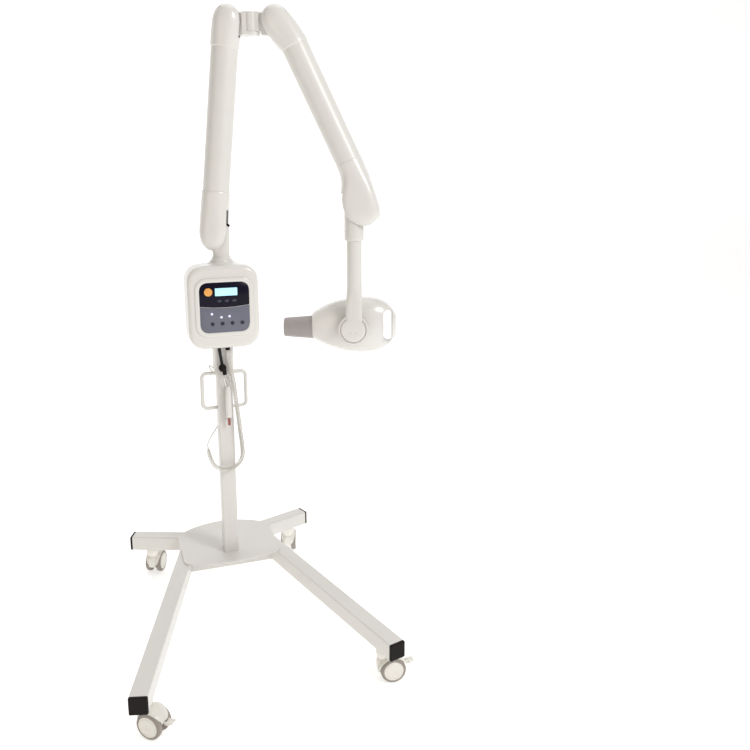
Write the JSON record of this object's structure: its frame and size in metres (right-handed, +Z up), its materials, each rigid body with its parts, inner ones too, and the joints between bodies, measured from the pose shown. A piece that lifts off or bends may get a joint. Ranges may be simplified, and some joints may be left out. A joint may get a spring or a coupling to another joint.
{
  "type": "mobile intraoral x-ray unit",
  "caption": "Mobile dental X-ray unit: four-legged castor base, square column, control box with keys and hand switch, two-section balanced arm and tilting tube head with a beam cone.",
  "frame": {"origin": "on the floor under the middle of the whole unit", "axes": "+Z up the column, -Y the way the control box faces, +X to the right of someone facing the box"},
  "size_m": [0.9591, 1.0074, 1.9692],
  "materials": {
    "white_paint": "satin powder coat",
    "white_shell": "semi-gloss",
    "black_plastic": "moulded",
    "panel_print": "screen-printed film",
    "display_lit": "lit from behind",
    "circuit_board": "board",
    "orange_key": "moulded",
    "grey_key": "moulded",
    "bare_steel": "machined",
    "clip_metal": "nickel plated",
    "webbing": "woven",
    "red_plastic": "moulded",
    "cord_jacket": "soft jacket",
    "grey_cone": "moulded",
    "castor_cream": "moulded",
    "castor_tread": "moulded"
  },
  "bodies": {
    "stand": {"base_plate": "white_paint", "case_front_shell": "white_shell", "case_rear_shell": "white_shell", "column": "white_paint", "column_cross_tube": "white_paint", "control_board": "circuit_board", "cord_gland": "black_plastic", "display_window": "display_lit", "front_left_leg": "white_paint", "front_right_leg": "white_paint", "hand_switch_body": "white_shell", "left_push_handle": "white_paint", "leg_end_caps": "black_plastic", "mains_inlet": "black_plastic", "panel_overlay": "panel_print", "pipe_socket": "bare_steel", "rear_left_leg": "white_paint", "rear_right_leg": "white_paint", "right_push_handle": "white_paint", "switch_clip": "clip_metal", "switch_cord_coil": "cord_jacket", "switch_cord_lead": "cord_jacket", "switch_strap": "webbing"},
    "swivel_bracket": {"shoulder_bracket": "white_paint"},
    "lower_arm": {"lower_arm_tube": "white_paint", "lower_arm_foot_cover": "white_shell", "lower_arm_head_cover": "white_shell", "lower_arm_spring": "bare_steel"},
    "elbow_inner": {"elbow_inner_link": "white_paint"},
    "elbow_outer": {"elbow_outer_link": "white_paint"},
    "forearm": {"forearm_tube": "white_paint", "forearm_head_cover": "white_shell", "forearm_foot_cover": "white_shell", "forearm_spring": "bare_steel"},
    "wrist": {"wrist_block": "white_paint"},
    "yoke": {"yoke_arm": "white_paint", "hub_cap": "white_shell"},
    "tube_head": {"head_front_shell": "white_shell", "head_rear_shell": "white_shell", "xray_tube_housing": "bare_steel", "beam_cone": "grey_cone"},
    "hand_switch_push": {"hand_switch_button": "red_plastic"},
    "exposure_key_body": {"exposure_key": "orange_key"},
    "menu_key_1_body": {"menu_key_1": "black_plastic"},
    "menu_key_2_body": {"menu_key_2": "black_plastic"},
    "menu_key_3_body": {"menu_key_3": "black_plastic"},
    "mode_key_1_body": {"mode_key_1": "grey_key"},
    "mode_key_2_body": {"mode_key_2": "grey_key"},
    "mode_key_3_body": {"mode_key_3": "grey_key"},
    "mode_key_4_body": {"mode_key_4": "grey_key"},
    "front_left_castor_fork": {"front_left_castor_hood": "castor_cream"},
    "front_left_castor_wheel_pair": {"front_left_castor_wheels": "castor_tread"},
    "front_right_castor_fork": {"front_right_castor_hood": "castor_cream"},
    "front_right_castor_wheel_pair": {"front_right_castor_wheels": "castor_tread"},
    "rear_left_castor_fork": {"rear_left_castor_hood": "castor_cream"},
    "rear_left_castor_wheel_pair": {"rear_left_castor_wheels": "castor_tread"},
    "rear_right_castor_fork": {"rear_right_castor_hood": "castor_cream"},
    "rear_right_castor_wheel_pair": {"rear_right_castor_wheels": "castor_tread"},
    "front_left_brake": {"front_left_brake_pedal": "black_plastic"},
    "front_right_brake": {"front_right_brake_pedal": "black_plastic"}
  },
  "joints": [
    {"name": "arm_swivel", "type": "hinge", "parent": "stand", "child": "swivel_bracket", "pos_m": [-0.092, 0.221, 1.18], "axis": [0, 0, 1], "range_deg": [-150, 150]},
    {"name": "shoulder_lift", "type": "hinge", "parent": "swivel_bracket", "child": "lower_arm", "pos_m": [-0.1128, 0.22816, 1.266], "axis": [0.3256, 0.9455, 0], "range_deg": [-4, 60]},
    {"name": "elbow_level", "type": "hinge", "parent": "lower_arm", "child": "elbow_inner", "pos_m": [-0.05041, 0.20668, 1.91566], "axis": [0.3256, 0.9455, 0], "range_deg": [-60, 4]},
    {"name": "elbow_swivel", "type": "hinge", "parent": "elbow_inner", "child": "elbow_outer", "pos_m": [0.02193, 0.18177, 1.91566], "axis": [0, 0, 1], "range_deg": [-60, 60]},
    {"name": "forearm_lift", "type": "hinge", "parent": "elbow_outer", "child": "forearm", "pos_m": [0.09426, 0.15687, 1.91566], "axis": [0.3256, 0.9455, 0], "range_deg": [-70, 4]},
    {"name": "wrist_level", "type": "hinge", "parent": "forearm", "child": "wrist", "pos_m": [0.35272, 0.06787, 1.33476], "axis": [0.3256, 0.9455, 0], "range_deg": [-4, 70]},
    {"name": "yoke_swivel", "type": "hinge", "parent": "wrist", "child": "yoke", "pos_m": [0.31773, 0.07992, 1.243], "axis": [0, 0, 1], "range_deg": [-170, 170]},
    {"name": "head_tilt", "type": "hinge", "parent": "yoke", "child": "tube_head", "pos_m": [0.31395, 0.08122, 0.947], "axis": [0.3256, 0.9455, 0], "range_deg": [-100, 60]},
    {"name": "front_left_castor_swivel", "type": "hinge", "parent": "stand", "child": "front_left_castor_fork", "pos_m": [-0.43685, -0.4293, 0.103], "axis": [0, 0, 1], "continuous": true},
    {"name": "front_left_castor_wheel_spin", "type": "hinge", "parent": "front_left_castor_fork", "child": "front_left_castor_wheel_pair", "pos_m": [-0.41723, -0.44636, 0.0375], "axis": [0.6561, 0.7547, 0], "continuous": true},
    {"name": "front_left_brake_press", "type": "hinge", "parent": "front_left_castor_fork", "child": "front_left_brake", "pos_m": [-0.38477, -0.47457, 0.048], "axis": [0.6561, 0.7547, 0], "range_deg": [0, 18]},
    {"name": "front_right_castor_swivel", "type": "hinge", "parent": "stand", "child": "front_right_castor_fork", "pos_m": [0.23685, -0.4293, 0.103], "axis": [0, 0, 1], "continuous": true},
    {"name": "front_right_castor_wheel_spin", "type": "hinge", "parent": "front_right_castor_fork", "child": "front_right_castor_wheel_pair", "pos_m": [0.26265, -0.43247, 0.0375], "axis": [0.1219, 0.9925, 0], "continuous": true},
    {"name": "front_right_brake_press", "type": "hinge", "parent": "front_right_castor_fork", "child": "front_right_brake", "pos_m": [0.30533, -0.43771, 0.048], "axis": [0.1219, 0.9925, 0], "range_deg": [0, 18]},
    {"name": "rear_left_castor_swivel", "type": "hinge", "parent": "stand", "child": "rear_left_castor_fork", "pos_m": [-0.35424, 0.43192, 0.103], "axis": [0, 0, 1], "continuous": true},
    {"name": "rear_left_castor_wheel_spin", "type": "hinge", "parent": "rear_left_castor_fork", "child": "rear_left_castor_wheel_pair", "pos_m": [-0.34284, 0.45529, 0.0375], "axis": [-0.8988, 0.4384, 0], "continuous": true},
    {"name": "rear_right_castor_swivel", "type": "hinge", "parent": "stand", "child": "rear_right_castor_fork", "pos_m": [0.15424, 0.43192, 0.103], "axis": [0, 0, 1], "continuous": true},
    {"name": "rear_right_castor_wheel_spin", "type": "hinge", "parent": "rear_right_castor_fork", "child": "rear_right_castor_wheel_pair", "pos_m": [0.16184, 0.45678, 0.0375], "axis": [-0.9563, 0.2924, 0], "continuous": true},
    {"name": "exposure_key_press", "type": "slide", "parent": "stand", "child": "exposure_key_body", "axis": [0, 1, 0], "range_m": [0, 0.001], "stiffness_N_per_m": 500, "springref_m": -0.001},
    {"name": "menu_key_1_press", "type": "slide", "parent": "stand", "child": "menu_key_1_body", "axis": [0, 1, 0], "range_m": [0, 0.001], "stiffness_N_per_m": 500, "springref_m": -0.001},
    {"name": "menu_key_2_press", "type": "slide", "parent": "stand", "child": "menu_key_2_body", "axis": [0, 1, 0], "range_m": [0, 0.001], "stiffness_N_per_m": 500, "springref_m": -0.001},
    {"name": "menu_key_3_press", "type": "slide", "parent": "stand", "child": "menu_key_3_body", "axis": [0, 1, 0], "range_m": [0, 0.001], "stiffness_N_per_m": 500, "springref_m": -0.001},
    {"name": "mode_key_1_press", "type": "slide", "parent": "stand", "child": "mode_key_1_body", "axis": [0, 1, 0], "range_m": [0, 0.001], "stiffness_N_per_m": 500, "springref_m": -0.001},
    {"name": "mode_key_2_press", "type": "slide", "parent": "stand", "child": "mode_key_2_body", "axis": [0, 1, 0], "range_m": [0, 0.001], "stiffness_N_per_m": 500, "springref_m": -0.001},
    {"name": "mode_key_3_press", "type": "slide", "parent": "stand", "child": "mode_key_3_body", "axis": [0, 1, 0], "range_m": [0, 0.001], "stiffness_N_per_m": 500, "springref_m": -0.001},
    {"name": "mode_key_4_press", "type": "slide", "parent": "stand", "child": "mode_key_4_body", "axis": [0, 1, 0], "range_m": [0, 0.001], "stiffness_N_per_m": 500, "springref_m": -0.001},
    {"name": "hand_switch_press", "type": "slide", "parent": "stand", "child": "hand_switch_push", "axis": [0, 0, 1], "range_m": [0, 0.004], "stiffness_N_per_m": 500, "springref_m": -0.001}
  ],
  "couplings": [
    {"joint": "elbow_level", "follows": "shoulder_lift", "ratio": -1},
    {"joint": "wrist_level", "follows": "forearm_lift", "ratio": -1}
  ]
}
